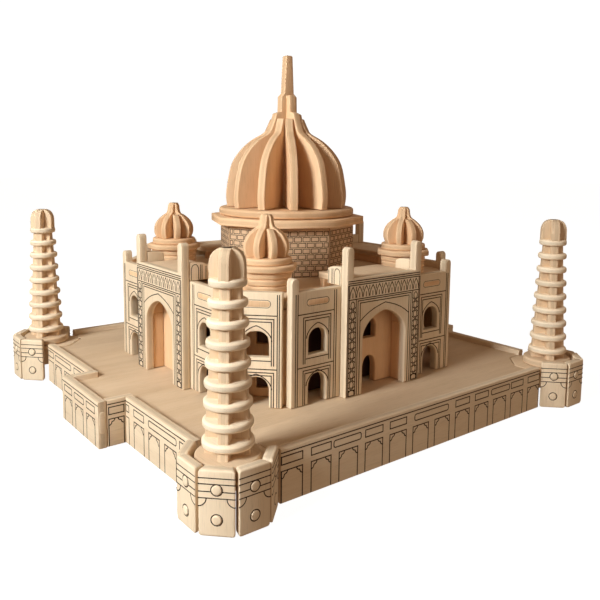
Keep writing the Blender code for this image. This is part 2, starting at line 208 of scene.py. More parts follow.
def plywood(name, pale, deep, sideways=False):
    """Bare plywood: broad soft figure, fine streaks and short pores along the grain, a darker middle layer
    with glue lines on the rim, rubbed pale arrises, and a different tone on each board."""
    material = bpy.data.materials.new(name)
    material.use_nodes = True
    shader = material.node_tree.nodes["Principled BSDF"]
    start = Wire(material.node_tree)
    grain = start.node("ShaderNodeAttribute", attribute_name="sheet")[1]
    edge = start.node("ShaderNodeAttribute", attribute_name="edge")[1]
    rim, ply, tone = start.node("ShaderNodeSeparateXYZ", {0: edge})
    along, across = (0.1, 1.0) if sideways else (1.0, 0.1)
    figure = grain.scaled(along, across, 1.0).noise(0.13, 4.0, 0.6).step(0.3, 0.72)
    streaks = grain.scaled(along * 0.5, across * 0.5, 1.0).noise(2.6, 3.0, 0.65)
    pores = grain.scaled(along ** 2 + 0.02, across ** 2 + 0.02, 1.0).noise(4.5, 1.0, 0.5).step(0.58, 0.72)
    cloud = grain.noise(0.03, 2.0, 0.5)
    dark = figure * 0.4 + streaks * 0.42 + cloud * 0.4 - 0.24
    colour = dark.step(0.0, 1.0).blend((*pale, 1), (*deep, 1))
    middle = ply.step(0.3, 0.36) * (1.0 - ply.step(0.64, 0.7))
    glue = ((ply - 0.5).size() - 0.17).size().step(0.01, 0.03)
    speckle = grain.noise(3.4, 2.0, 0.7)
    on_rim = rim.step(0.55, 0.95)
    rim_shade = 1.0 - middle * (0.06 + 0.14 * speckle) - (1.0 - glue) * 0.1
    rubbed = rim.step(0.02, 0.3) * (1.0 - rim.step(0.6, 0.95)) * 0.06
    shade = (1.0 - pores * 0.14) * (0.9 + tone * 0.12) * (1.0 - on_rim + on_rim * rim_shade) + rubbed
    grey = start.node("ShaderNodeCombineXYZ", {0: shade, 1: shade * 0.992, 2: shade * 0.975})[0]
    shaded = start.node("ShaderNodeMix", {0: 1.0, 6: colour, 7: grey}, data_type="RGBA",
                        blend_type="MULTIPLY")
    shaded[2].feed(shader.inputs["Base Color"])
    (streaks * 0.16 + on_rim * 0.1 + 0.56).feed(shader.inputs["Roughness"])
    relief = streaks * 0.6 - pores * 0.5 + on_rim * speckle * 0.5
    bump = start.node("ShaderNodeBump", {"Height": relief, "Strength": 0.4, "Distance": 0.00015})[0]
    bump.feed(shader.inputs["Normal"])
    shader.inputs["Specular IOR Level"].default_value = 0.3
    return material


deck_low, deck_high = cad("deck")
deck_top = deck_high[2]
notch = cad("wall_front")[1][0]
notch_corner, deck_side, bay_half = 92.6, 100.7, 18.2
quarter_deck = [(deck_high[0], 0.0), (deck_high[0], bay_half), (deck_side, bay_half), (deck_side, notch),
                (notch_corner, notch), (notch, notch_corner), (notch, deck_high[1])]
half_deck = quarter_deck + [(-x, y) for x, y in reversed(quarter_deck)]
deck_outline = half_deck + [(-x, -y) for x, y in half_deck[1:-1]]
DECK_PLY = plywood("deck_plywood_face", (0.78, 0.58, 0.39), (0.67, 0.47, 0.29), sideways=True)
piece("deck_board", [cut(deck_outline, (), deck_high[2] - deck_low[2], flat_at(0, 0, deck_low[2]))],
      DECK_PLY, "deck_plywood", "deck")

# ---- the plinth walls -----------------------------------------------------------------------------
# Two long boards, and five shorter ones round the stepped bay on each side, all 4 mm plywood glued
# against the deck's edge. Arcades, small panels and a cornice line are burnt into their outer faces.
WALL_PLY = plywood("wall_plywood_face", (0.84, 0.67, 0.48), (0.73, 0.54, 0.36), sideways=True)
STROKE = 0.47
STROKE_PROUD = 0.035


def upright(direction, distance, foot=0.0, along=0.0, depth=4.0):
    """The place of a standing board seen from outside: its outer face is that far from the middle, its
    lower edge at foot, and its middle moved along to the right."""
    angle = np.radians(direction)
    out = np.array([np.cos(angle), np.sin(angle), 0.0])
    right = np.array([-np.sin(angle), np.cos(angle), 0.0])
    return out * (distance - depth) + right * along + (0, 0, foot), right, np.array([0.0, 0, 1]), out


def moved(place, x=0.0, y=0.0, z=0.0):
    """The same place moved along its own axes."""
    origin, right, up, out = place
    return origin + right * x + up * y + out * z, right, up, out


def line(*points):
    return np.array(points, float), False


def ring(points):
    return np.array(points, float), True


def box_path(left, right, low, high):
    return [(left, low), (right, low), (right, high), (left, high)]


def arc_path(x, y, radius, start, end, steps=6, tall=None):
    """Points along a circle, or an ellipse if tall is given, from one angle to another in degrees."""
    angle = np.radians(np.linspace(start, end, steps + 1))
    return np.column_stack([x + radius * np.cos(angle), y + (tall or radius) * np.sin(angle)]).tolist()


def round_box(left, right, low, high, radius, steps=4):
    """A rectangle with round corners, counter-clockwise; a stadium if the radius is half its height."""
    corners = ((right - radius, low + radius, -90), (right - radius, high - radius, 0),
               (left + radius, high - radius, 90), (left + radius, low + radius, 180))
    return sum((arc_path(x, y, radius, start, start + 90, steps) for x, y, start in corners), [])


def burn(strokes, place, width=STROKE):
    """Burnt strokes on a board's face: a low strip of that width carried along each path and mitred at its
    corners, set into the face and a hair proud of it. A closed path joins its end to its start."""
    cuts = []
    for path, closed in strokes:
        step = np.roll(path, -1, axis=0) - path
        if not closed:
            step[-1] = step[-2]
        step = step / np.linalg.norm(step, axis=1, keepdims=True)
        left = np.stack([-step[:, 1], step[:, 0]], axis=1)
        before = np.roll(left, 1, axis=0)
        if not closed:
            before[0] = left[0]
        spread = np.maximum(1 + (left * before).sum(axis=1, keepdims=True), 0.4)
        side = (left + before) / spread * width / 2
        count = len(path)
        section = ((-1, -0.12), (1, -0.12), (1, STROKE_PROUD), (-1, STROKE_PROUD))
        rails = np.stack([np.column_stack([path - sign * side, np.full(count, z)]) for sign, z in section],
                         axis=1)
        flat = rails.reshape(-1, 3)
        index = np.arange(count * 4).reshape(count, 4)
        after = np.roll(index, -1, axis=0)
        if not closed:
            index, after = index[:-1], after[:-1]
        around, around_after = np.roll(index, -1, axis=1), np.roll(after, -1, axis=1)
        faces = np.stack([index, after, around_after, around], axis=-1).reshape(-1, 4).tolist()
        if not closed:
            last = (count - 1) * 4
            faces += [[0, 1, 2, 3], [last + 3, last + 2, last + 1, last]]
        origin, *axes = place
        cuts.append({"points": origin + flat @ np.array(axes), "faces": faces, "banded": 0, "grain": flat,
                     "edge": np.zeros((len(flat), 3))})
    return cuts


def scorch(name, burnt, faded):
    """A line burnt into wood: nearly black where the iron rested, browner where it ran light."""
    material = bpy.data.materials.new(name)
    material.use_nodes = True
    shader = material.node_tree.nodes["Principled BSDF"]
    sheet = Wire(material.node_tree).node("ShaderNodeAttribute", attribute_name="sheet")[1]
    patch = sheet.noise(0.9, 3.0, 0.6)
    patch.step(0.35, 0.72).blend((*burnt, 1), (*faded, 1)).feed(shader.inputs["Base Color"])
    (patch * 0.2 + 0.7).feed(shader.inputs["Roughness"])
    bump = patch.node("ShaderNodeBump", {"Height": patch, "Strength": 0.3, "Distance": 0.0001})[0]
    bump.feed(shader.inputs["Normal"])
    shader.inputs["Specular IOR Level"].default_value = 0.2
    return material


SOOT = scorch("burnt_line", (0.022, 0.013, 0.009), (0.09, 0.05, 0.03))


def arcade(middle, top=12.5, width=9.8):
    """One blind arch: two jambs, a lintel, and a bracket of two small scallops in each top corner."""
    jambs = line((middle - width / 2, 0.3), (middle - width / 2, top), (middle + width / 2, top),
                 (middle + width / 2, 0.3))
    strokes = [jambs]
    for side in (-1, 1):
        corner = middle + side * width / 2
        scallops = arc_path(0, top - 1.5, 1.3, -90, 0, 4) + arc_path(1.5, top, 1.3, -90, 0, 4)
        strokes.append(line(*((corner - side * x, y) for x, y in scallops)))
    return strokes


def wall_lines(left, right, top, middles, wide=()):
    """A cornice line along the top, and over each arch a small panel; wide panels have round ends."""
    strokes = [line((left, top - 1.5), (right, top - 1.5))]
    for middle in middles:
        strokes += arcade(middle)
        if not any(abs(middle - centre) < half + 3 for centre, half in wide):
            strokes.append(ring(box_path(middle - 4.9, middle + 4.9, 15.0, 18.0)))
    for centre, half in wide:
        strokes.append(ring(round_box(centre - half, centre + half, 15.0, 17.8, 0.9)))
    return strokes


def wall(name, place, left, right, top, strokes, thick=4.0):
    """A board between two ends, standing on the ground, with its burnt lines."""
    piece(name + "_board", [cut(box_path(left, right, 0.0, top), (), thick, place)], WALL_PLY,
          "wall_plywood", name)
    piece(name + "_lines", burn(strokes, moved(place, z=thick)), SOOT, "wall_plywood")


wall_low, wall_high = cad("wall_front")
wall_top = wall_high[2]
long_half = wall_high[0]
long_arches = [14.0 * i + 7 for i in range(-6, 6)]
long_wide = [(-49.5, 7.2), (0.0, 11.0), (49.5, 7.2)]
for side, direction in (("front", -90), ("back", 90)):
    wall("wall_" + side, upright(direction, -wall_low[1]), -long_half, long_half, wall_top,
         wall_lines(-long_half, long_half, wall_top, long_arches, long_wide))

side_low, side_high = cad("wall_right_back")
side_start, side_end, side_face = side_low[1], side_high[1], side_high[0]
side_arches = [side_start + 13.6 + 14.4 * i for i in range(3)]
for side, direction, order in (("right", 0, ("back", "front")), ("left", 180, ("front", "back"))):
    for which, sign in zip(order, (1, -1)):
        ends = sorted((sign * side_start, sign * side_end))
        middles = [sign * middle for middle in side_arches]
        wide = [(sign * (side_arches[1] + 7.2), 12.2)]
        strokes = wall_lines(*ends, wall_top, middles, wide)
        for jamb, edge in ((side_start + 3.6, side_start + 0.6), (side_end - 9.2, side_end - 0.6)):
            strokes += [ring(box_path(*sorted((sign * jamb, sign * edge)), 15.0, 18.0)),
                        line((sign * jamb, 0.3), (sign * jamb, 12.5), (sign * edge, 12.5))]
        wall(f"wall_{side}_{which}", upright(direction, side_face), *ends, wall_top, strokes)

bay_high = cad("bay_right_front")[1]
bay_edge, bay_face = bay_high[1], bay_high[0]
cheek_low, cheek_high = cad("bay_right_cheek_front")
for side, direction in (("right", 0), ("left", 180)):
    wall(f"bay_{side}_front", upright(direction, bay_face), -bay_edge, bay_edge, wall_top,
         wall_lines(-bay_edge, bay_edge, wall_top, (-14.0, 0.0, 14.0), ((0.0, 6.0),)))
for side, sign in (("right", 1), ("left", -1)):
    for which, direction in (("front", -90), ("back", 90)):
        right_hand = sign if direction == -90 else -sign
        ends = sorted((right_hand * cheek_low[0], right_hand * cheek_high[0]))
        middle = right_hand * 109.1
        strokes = [line((ends[0], wall_top - 1.8), (ends[1], wall_top - 1.8)), *arcade(middle, 12.5, 7.0),
                   ring(box_path(middle - 3.5, middle + 3.5, 14.6, 17.8))]
        place = upright(direction, bay_edge)
        wall(f"bay_{side}_cheek_{which}", place, *ends, wall_top, strokes)
        tenon = right_hand * (bay_face - 2.0)
        tenon_end = round_box(tenon - 1.35, tenon + 1.35, 6.5, 16.5, 1.3)
        piece(f"bay_{side}_tenon_{which}", [cut(tenon_end, (), 1.2, moved(place, z=2.95), 0.3)], WALL_PLY,
              "wall_plywood")

# ---- the corner bastions --------------------------------------------------------------------------
# Five short boards stand on end round the outer side of a floor that plugs into each through two round
# pegs; the inner side is open to the deck. Their ends are left apart, so each board's thickness shows.
TOWERS = {"front_left": (-1, -1), "front_right": (1, -1), "back_left": (-1, 1), "back_right": (1, 1)}
BASTION_PLY = plywood("bastion_plywood_face", (0.86, 0.69, 0.50), (0.76, 0.58, 0.39))
bastion_low, bastion_high = cad("bastion_front_right")
tower = (bastion_low[0] + bastion_high[0]) / 2
bastion_top = bastion_high[2]
facet_face = (bastion_high[0] - bastion_low[0]) / 2 - 0.45
facet_half = 6.45


def circle(radius, count=24, turn=0.0):
    """Points round a circle, counter-clockwise."""
    return arc_path(0, 0, radius, turn, turn + 360 * (count - 1) / count, count - 1)


facet_outline = round_box(-facet_half, facet_half, 0.0, bastion_top, 1.1)
upper_peg, lower_peg = bastion_top - 6.9, bastion_top - 17.4
peg_radius, peg_band = 1.9, bastion_top - 7.5
facet_strokes = [line((-facet_half, peg_band), (-peg_radius, peg_band)),
                 line((peg_radius, peg_band), (facet_half, peg_band))]
facet_strokes += [line((-facet_half, bastion_top - drop), (facet_half, bastion_top - drop))
                  for drop in (2.8, 4.9, 9.8)]
facet_strokes += [line(*arc_path(-facet_half, bastion_top - 9.8, 2.9, -90, 0, 6)),
                  line(*arc_path(facet_half, bastion_top - 9.8, 2.9, 180, 270, 6))]
facet_strokes += [ring(np.add(circle(2.0, 20), (0, y))) for y in (upper_peg, lower_peg)]
for corner, (sign_x, sign_y) in TOWERS.items():
    boards, pegs, strokes = [], [], []
    middle = np.array([sign_x * tower, sign_y * tower, 0.0])
    outward = np.degrees(np.arctan2(sign_y, sign_x))
    for direction in outward + np.arange(-90, 91, 45):
        origin, *axes = upright(direction, facet_face)
        place = (origin + middle, *axes)
        boards.append(cut(facet_outline, (), 4.0, place, 0.6, taper=0.17))
        pegs += [cut(circle(1.7, 20), (), 3.0, moved(place, y=y, z=1.38), 0.4)
                 for y in (upper_peg, lower_peg)]
        strokes += burn(facet_strokes, moved(place, z=4.0), 0.38)
    piece(f"bastion_{corner}_boards", boards, BASTION_PLY, "wall_plywood", f"bastion_{corner}")
    piece(f"bastion_{corner}_pegs", pegs, BASTION_PLY, "wall_plywood")
    piece(f"bastion_{corner}_lines", strokes, SOOT, "wall_plywood")
    reach = np.where(np.arange(8) < 3, facet_face + 0.2, facet_face - 4.2)
    angles = np.radians(outward + 135 + 45 * np.arange(8))
    reach_next, angles_next = np.roll(reach, -1), np.roll(angles, -1)
    floor = np.column_stack([reach * np.sin(angles_next) - reach_next * np.sin(angles),
                             reach_next * np.cos(angles) - reach * np.cos(angles_next)]) * np.sqrt(2)
    floor_place = flat_at(*middle[:2], deck_top - 4.0)
    piece(f"bastion_{corner}_floor", [cut(floor, (), 4.0, floor_place, 0.2)], DECK_PLY, "wall_plywood")

# ---- the minarets ---------------------------------------------------------------------------------
# Nine tumbled discs of 3 mm plywood are threaded, biggest first, on two tapered planks that cross on
# the axis. The planks stand in a round base plate and end in a bell-shaped cap above the last disc.
DISC_PLY = plywood("minaret_disc_plywood_face", (0.93, 0.77, 0.58), (0.84, 0.66, 0.46))
PLANK_PLY = plywood("minaret_plank_plywood_face", (0.77, 0.57, 0.38), (0.65, 0.45, 0.28))
minaret_low, minaret_high = cad("minaret_front_right")
minaret_foot, minaret_top = minaret_low[2], minaret_high[2]
disc_thick, disc_first, disc_pitch, disc_count = 3.0, 25.2, 7.14, 9
cap_foot, cap_half = 84.8, 6.4
base_radius, base_top, plank_thick = 12.0, 22.4, 4.0


def both_sides(right):
    """A whole outline, counter-clockwise, from its right-hand edge listed from the foot up."""
    return [tuple(point) for point in right] + [(-x, y) for x, y in reversed(right)]


swell = np.radians(np.linspace(0, 90, 9))[1:-1]
bell = [(cap_half * np.cos(a) ** 0.6, cap_foot + (minaret_top - cap_foot) * (0.4 + 0.6 * np.sin(a)))
        for a in swell]
plank_outline = both_sides([(8.6, minaret_foot + 0.5), (4.7, cap_foot), (cap_half, cap_foot), *bell,
                            (cap_half * 0.36, minaret_top)])
disc_radii = np.linspace(9.5, 6.8, disc_count)
for corner, (sign_x, sign_y) in TOWERS.items():
    middle = np.array([sign_x * tower, sign_y * tower, 0.0])
    planks = []
    for direction in (45, 135):
        origin, *axes = upright(direction, plank_thick / 2, depth=plank_thick)
        planks.append(cut(plank_outline, (), plank_thick, (origin + middle, *axes), 0.4))
    discs = [cut(circle(radius, 36), (), disc_thick,
                 flat_at(*middle[:2], disc_first + i * disc_pitch, 37 * i), 1.05)
             for i, radius in enumerate(disc_radii)]
    piece(f"minaret_{corner}_planks", planks, PLANK_PLY, "minaret_plywood", f"minaret_{corner}")
    piece(f"minaret_{corner}_discs", discs, DISC_PLY, "minaret_plywood")
    base = cut(circle(base_radius, 40), (), base_top - minaret_foot, flat_at(*middle[:2], minaret_foot), 0.7)
    piece(f"minaret_{corner}_base", [base], PLANK_PLY, "minaret_plywood")

# ---- the niche boards -----------------------------------------------------------------------------
# An unmarked board with one window over one door closes each great arch a little way in, and narrow
# cheeks join it to the portal. A box of near-black boards inside is painted shade, so every opening looks
# deep.
SIDES = {"front": -90, "right": 0, "back": 90, "left": 180}
# Painted shade: a near-black finish for the hidden boards inside the body, standing in for the shade there.
PAINTED_SHADE_PLY = plywood("painted_shade_plywood_face", (0.11, 0.055, 0.04), (0.07, 0.035, 0.028))
INNER_PLY = plywood("inner_plywood_face", (0.82, 0.55, 0.33), (0.72, 0.44, 0.24))
niche_low, niche_high = cad("niche_right")
body_foot = niche_low[2]
niche_half, niche_face = niche_high[1], niche_high[0]
niche_rise = niche_high[2] - body_foot


def arch(middle, half, foot, top, spring_part=0.55, steps=10, power=0.8):
    """An arch from its right foot over to its left: straight jambs to the spring line, then on each side
    a curve whose reach falls as a power of the cosine. A power above 1 brings the crown to a point."""
    rise = (top - foot) * (1 - spring_part) if top - foot > 2 * half else half
    angle = np.linspace(0, np.pi / 2, steps + 1)
    reach = half * np.maximum(np.cos(angle), 0.0) ** power
    reach[-1] = 0.0
    right = np.column_stack([reach, top - rise + rise * np.sin(angle)])
    left = (right[:-1] * (-1, 1))[::-1]
    return (np.concatenate([[(half, foot)], right, left, [(-half, foot)]]) + (middle, 0)).tolist()


sill, door_top, niche_opening = 22.2, 13.6, 4.2
brace_rise = 42.6
niche_window = arch(0.0, niche_opening, sill, 31.8)
niche_outline = [(-niche_half, 0.0), *arch(0.0, niche_opening, 0.0, door_top)[::-1], (niche_half, 0.0),
                 (niche_half, niche_rise), (-niche_half, niche_rise)]
portal_high = cad("portal_right")[1]
portal_face, portal_half = portal_high[0], portal_high[1]
cheek_deep, cheek_rise, cheek_seam = portal_face - 4.0 - niche_face - 0.6, niche_rise - 0.2, 28.4
for side, direction in SIDES.items():
    place = upright(direction, niche_face, body_foot)
    piece(f"niche_{side}_board", [cut(niche_outline, (niche_window,), 4.0, place)], INNER_PLY,
          "facade_plywood", f"niche_{side}")
    cheeks = []
    for hand in (-1, 1):
        origin, right, up, out = moved(place, x=hand * 16.1 + 1.5, z=4.2)
        cheeks += [cut(box_path(0.0, cheek_deep, low, high), (), 3.0, (origin, out, up, -right), 0.3)
                   for low, high in ((0.0, cheek_seam), (cheek_seam + 0.15, cheek_rise))]
    piece(f"niche_{side}_cheeks", cheeks, INNER_PLY, "facade_plywood")
    # A near-black board of painted shade behind the niche, where the inside of the body would only be dark.
    backing_place = upright(direction, 59.4, body_foot, depth=3.0)
    painted_shade_board = cut(box_path(-42.4, 42.4, 0.0, brace_rise), (), 3.0, backing_place)
    piece(f"backing_{side}", [painted_shade_board], PAINTED_SHADE_PLY, "facade_plywood")

# ---- the facades ----------------------------------------------------------------------------------
# One 4 mm plywood board makes each long side of the body, cut through by a window and a door near
# either end, and left open behind the portal. Frames, bands and tenon ends are marked on its face.
FACADE_PLY = plywood("facade_plywood_face", (0.83, 0.67, 0.48), (0.72, 0.54, 0.36))
bay_middle, opening_half = 37.0, 5.1
window_top = 33.8
roof_line, end_top, post = 50.7, 56.7, 4.0


def pinnacle(left, right, shoulder, top, steps=8):
    """The round-topped post at the end of a parapet, from its right shoulder over to its left one."""
    half = (right - left) / 2
    crown = arc_path((left + right) / 2, top - half, half, 0, 180, steps)
    return [(right, shoulder), *crown, (left, shoulder)]


facade_gap = [(-18.6, 0.0), (-18.6, 43.2), (18.6, 43.2), (18.6, 0.0)]
facade_face, facade_half = cad("facade_right")[1][:2]
left_door, right_door = (arch(middle, opening_half, 0.0, door_top)[::-1]
                         for middle in (-bay_middle, bay_middle))
facade_foot = [*left_door, *facade_gap, *right_door]
facade_outline = [(-facade_half, 0.0), *facade_foot, (facade_half, 0.0),
                  *pinnacle(facade_half - post, facade_half, roof_line, end_top)[1:],
                  *pinnacle(-facade_half, -facade_half + post, roof_line, end_top)[:-1]]
facade_windows = [arch(middle, opening_half, sill, window_top) for middle in (-bay_middle, bay_middle)]


def frame_lines(middle, left, right, foot, top, crown, half):
    """Lines round one opening: two nested frames open at the foot, and a pointed hood inside them."""
    outer = line((middle + left, foot), (middle + left, top), (middle + right, top), (middle + right, foot))
    inner = line((middle + left + 1.0, foot), (middle + left + 1.0, top - 1.3),
                 (middle + right - 1.0, top - 1.3), (middle + right - 1.0, foot))
    hood = np.array(arch(middle, half + 1.2, crown - 9.0, crown, 0.25, 8, 1.6))[1:-1]
    return [outer, inner, line(*hood)]


def plug(place, left, right, low, high):
    """The round-ended tenon of an inner board showing through its slot, a hair proud of the face."""
    return cut(round_box(left, right, low, high, (high - low) / 2 - 0.01, 6), (), 1.2,
               moved(place, z=-1.08), 0.3)


facade_strokes = []
for hand in (-1, 1):
    middle = hand * bay_middle
    left, right = sorted((hand * -7.4, hand * 8.0))
    facade_strokes += frame_lines(middle, left, right, 0.2, 15.6, 14.9, opening_half)
    facade_strokes += frame_lines(middle, left, right, 18.6, 39.2, 36.2, opening_half)
    end = hand * facade_half
    inner_rule, outer_rule = middle - hand * 9.4, end - hand * 3.3
    for u in (end - hand * 2.2, outer_rule, inner_rule, middle - hand * 10.6):
        facade_strokes.append(line((u, 0.2), (u, 49.8)))
    for v in (40.7, 17.1):
        facade_strokes.append(line((inner_rule, v), (outer_rule, v)))
    facade_strokes.append(line((middle - 6.6, 20.8), (middle + 6.6, 20.8)))
slot_outline = [ring(round_box(hand * bay_middle - 6.2, hand * bay_middle + 6.2, 44.1, 47.1, 1.45, 6))
                for hand in (-1, 1)]
for side, direction in SIDES.items():
    place = upright(direction, facade_face, body_foot)
    face = moved(place, z=4.0)
    piece(f"facade_{side}_board", [cut(facade_outline, facade_windows, 4.0, place)], FACADE_PLY,
          "facade_plywood", f"facade_{side}")
    piece(f"facade_{side}_lines", burn(facade_strokes, face, 0.45) + burn(slot_outline, face, 0.22), SOOT,
          "facade_plywood")
    tenons = [plug(face, hand * bay_middle - 5.9, hand * bay_middle + 5.9, 44.4, 46.8) for hand in (-1, 1)]
    piece(f"facade_{side}_tenons", tenons, INNER_PLY, "facade_plywood")

# ---- the portals ----------------------------------------------------------------------------------
# A second board stands against the middle of each facade, round the same great arch, and rises above
# the roof to two pinnacles. Its border of leaves and lozenges is the densest burnt work on the model.
arch_half, arch_top, arch_spring = 13.9, 37.8, 0.68
great_arch = arch(0.0, arch_half, 0.0, arch_top, arch_spring, 14, 1.3)
portal_line, pinnacle_top = 54.5, portal_high[2] - body_foot
portal_outline = [(-portal_half, 0.0), *great_arch[::-1], (portal_half, 0.0),
                  *pinnacle(portal_half - post, portal_half, portal_line, pinnacle_top)[1:],
                  *pinnacle(-portal_half, -portal_half + post, portal_line, pinnacle_top)[:-1]]


def lozenge_chain(middle, half, low, high, count):
    """A border strip: a rounded lozenge in every bay, and a small triangle in each corner it leaves."""
    strokes = []
    pitch = (high - low) / count
    for i in range(count):
        centre = low + (i + 0.5) * pitch
        strokes.append(ring(arc_path(middle, centre, half * 0.62, 0, 330, 11, pitch * 0.36)))
        for hand in (-1, 1):
            strokes.append(line((middle + hand * half, centre - pitch * 0.22),
                                (middle + hand * half * 0.12, centre - pitch * 0.5),
                                (middle + hand * half, centre - pitch * 0.78)))
    return strokes


def leaf_row(left, right, low, high, count):
    """A row of pointed leaves: each is two curves that meet at the tip, with a small one between."""
    strokes = []
    pitch = (right - left) / count
    rise = np.linspace(0, 1, 6)
    for i in range(count):
        centre = left + (i + 0.5) * pitch
        bulge = pitch * 0.44 * (1 - rise) * (1 + 1.1 * rise)
        up = np.column_stack([centre + bulge, low + (high - low) * rise])
        down = np.column_stack([centre - bulge, low + (high - low) * rise])[::-1][1:]
        strokes.append(line(*up, *down))
        strokes.append(line((centre, low), (centre, low + (high - low) * 0.45)))
        strokes.append(line((centre + pitch / 2, high), (centre + pitch / 2, high - (high - low) * 0.4)))
    return strokes


portal_strokes, fine_strokes = [], []
for v in (53.3, 52.3, 51.4):
    portal_strokes.append(line((-23.3, v), (23.3, v)))
portal_strokes.append(line((-22.9, 44.9), (22.9, 44.9)))
fine_strokes += leaf_row(-22.6, 22.6, 45.6, 50.6, 11)
for hand in (-1, 1):
    for u in (23.3, 22.6, 18.4):
        portal_strokes.append(line((hand * u, 0.3), (hand * u, 51.4 if u > 20 else 44.9)))
    portal_strokes.append(ring(box_path(*sorted((hand * 18.8, hand * 22.2)), 0.5, 3.0)))
    fine_strokes += lozenge_chain(hand * 20.5, 1.9, 3.4, 44.6, 9)
portal_strokes += [line((-17.3, 0.3), (-17.3, 44.0), (17.3, 44.0), (17.3, 0.3)),
                   line((-15.9, 0.3), (-15.9, 42.9), (15.9, 42.9), (15.9, 0.3))]
hood_side = [(15.9, 34.4), (13.2, 36.4), (10.2, 38.1), (6.9, 39.5), (3.4, 40.6)]
portal_strokes.append(line(*hood_side, (0.0, 41.5), *((-x, y) for x, y in reversed(hood_side))))
for side, direction in SIDES.items():
    place = upright(direction, portal_face, body_foot)
    face = moved(place, z=4.0)
    piece(f"portal_{side}_board", [cut(portal_outline, (), 4.0, place)], FACADE_PLY, "facade_plywood",
          f"portal_{side}")
    piece(f"portal_{side}_lines", burn(portal_strokes, face, 0.45) + burn(fine_strokes, face, 0.42), SOOT,
          "facade_plywood")

# ---- the corner boards ----------------------------------------------------------------------------
# A narrower board closes each cut-off corner of the body, with one window over one door. Behind it,
# an inner board with two small square openings braces the roof and shows dark through the window, with a
# near-black board of painted shade behind its openings.
corner_high = cad("corner_board_back_right")[1]
chamfer_half, chamfer_opening = 11.1, 5.6
chamfer_face = (corner_high[0] + corner_high[1]) / np.sqrt(2) - chamfer_half
corner_outline = [(-chamfer_half, 0.0), *arch(0.0, chamfer_opening, 0.0, door_top)[::-1], (chamfer_half, 0.0),
                  (chamfer_half, roof_line), (-chamfer_half, roof_line)]
corner_window = arch(0.0, chamfer_opening, sill, window_top)
corner_strokes = frame_lines(0.0, -7.6, 7.6, 0.2, 15.6, 14.9, chamfer_opening)
corner_strokes += frame_lines(0.0, -7.6, 7.6, 18.6, 39.2, 36.2, chamfer_opening)
for hand in (-1, 1):
    for u in (chamfer_half - 1.1, chamfer_half - 2.0):
        corner_strokes.append(line((hand * u, 0.2), (hand * u, 49.9)))
for v in (40.7, 17.1):
    corner_strokes.append(line((-chamfer_half + 2.0, v), (chamfer_half - 2.0, v)))
corner_strokes.append(line((-6.8, 20.8), (6.8, 20.8)))
corner_slot = [ring(round_box(-6.2, 6.2, 44.1, 47.4, 1.6, 6))]
inner_openings = [box_path(-2.6, 2.6, 4.0, 9.4), box_path(-2.6, 2.6, 24.4, 30.2)]
for corner, (sign_x, sign_y) in TOWERS.items():
    direction = np.degrees(np.arctan2(sign_y, sign_x))
    place = upright(direction, chamfer_face, body_foot)
    face = moved(place, z=4.0)
    piece(f"corner_{corner}_board", [cut(corner_outline, (corner_window,), 4.0, place)], FACADE_PLY,
          "facade_plywood", f"corner_board_{corner}")
    piece(f"corner_{corner}_lines", burn(corner_strokes, face, 0.45) + burn(corner_slot, face, 0.22), SOOT,
          "facade_plywood")
    piece(f"corner_{corner}_tenon", [plug(face, -5.9, 5.9, 44.4, 47.1)], INNER_PLY, "facade_plywood")
    inner = upright(direction, chamfer_face - 13.0, body_foot)
    piece(f"corner_{corner}_brace", [cut(box_path(-13.5, 13.5, 0.0, brace_rise), inner_openings, 3.0, inner)],
          INNER_PLY, "facade_plywood")
    # A near-black board of painted shade behind the brace, so its square openings read as shadow.
    backing_place = upright(direction, chamfer_face - 16.4, body_foot, depth=3.0)
    painted_shade_board = cut(box_path(-13.4, 13.4, 0.0, brace_rise), (), 3.0, backing_place)
    piece(f"backing_{corner}", [painted_shade_board], PAINTED_SHADE_PLY, "facade_plywood")
    posts = []
    for hand in (-1, 1):
        post_place = upright(direction + hand * 22.5, 82.3, body_foot, along=-hand * 22.75, depth=3.0)
        posts.append(cut(box_path(-3.2, 3.2, 0.0, brace_rise), (), 3.0, post_place))
    piece(f"corner_{corner}_posts", posts, INNER_PLY, "facade_plywood")

# ---- the roof and the portal heads ----------------------------------------------------------------
# A plain plywood plate drops between the eight boards of the body. Behind each portal's head a thin
# plate rests on a riser, between two short returns with a small arch burnt on the outside.
roof_low, roof_high = cad("roof")
roof_reach = roof_high[0]
roof_near = (chamfer_face - 4.3) * np.sqrt(2) - roof_reach
roof_quarter = [(roof_reach, roof_near), (roof_near, roof_reach)]
roof_half = roof_quarter + [(-x, y) for x, y in reversed(roof_quarter)]
roof_outline = roof_half + [(-x, -y) for x, y in roof_half]
piece("roof_board", [cut(roof_outline, (), roof_high[2] - roof_low[2], flat_at(0, 0, roof_low[2]))], DECK_PLY,
      "deck_plywood", "roof")
head_low, head_high = cad("portal_roof_right")
head_half, head_depth = head_high[1], head_high[0] - head_low[0]
return_foot = body_foot + roof_line + 0.2
return_depth = 9.4
return_outline = [(0.0, 0.0), (return_depth, 0.0), (return_depth, 6.9), (7.0, 8.0), (3.0, 8.4), (0.0, 8.4)]
return_strokes = [line(*arch(2.7, 1.9, 0.3, 7.4, 0.6, 8)), line((5.6, 0.3), (5.6, 7.2)),
                  line((6.4, 0.3), (6.4, 7.1)), line((8.5, 0.3), (8.5, 6.3))]
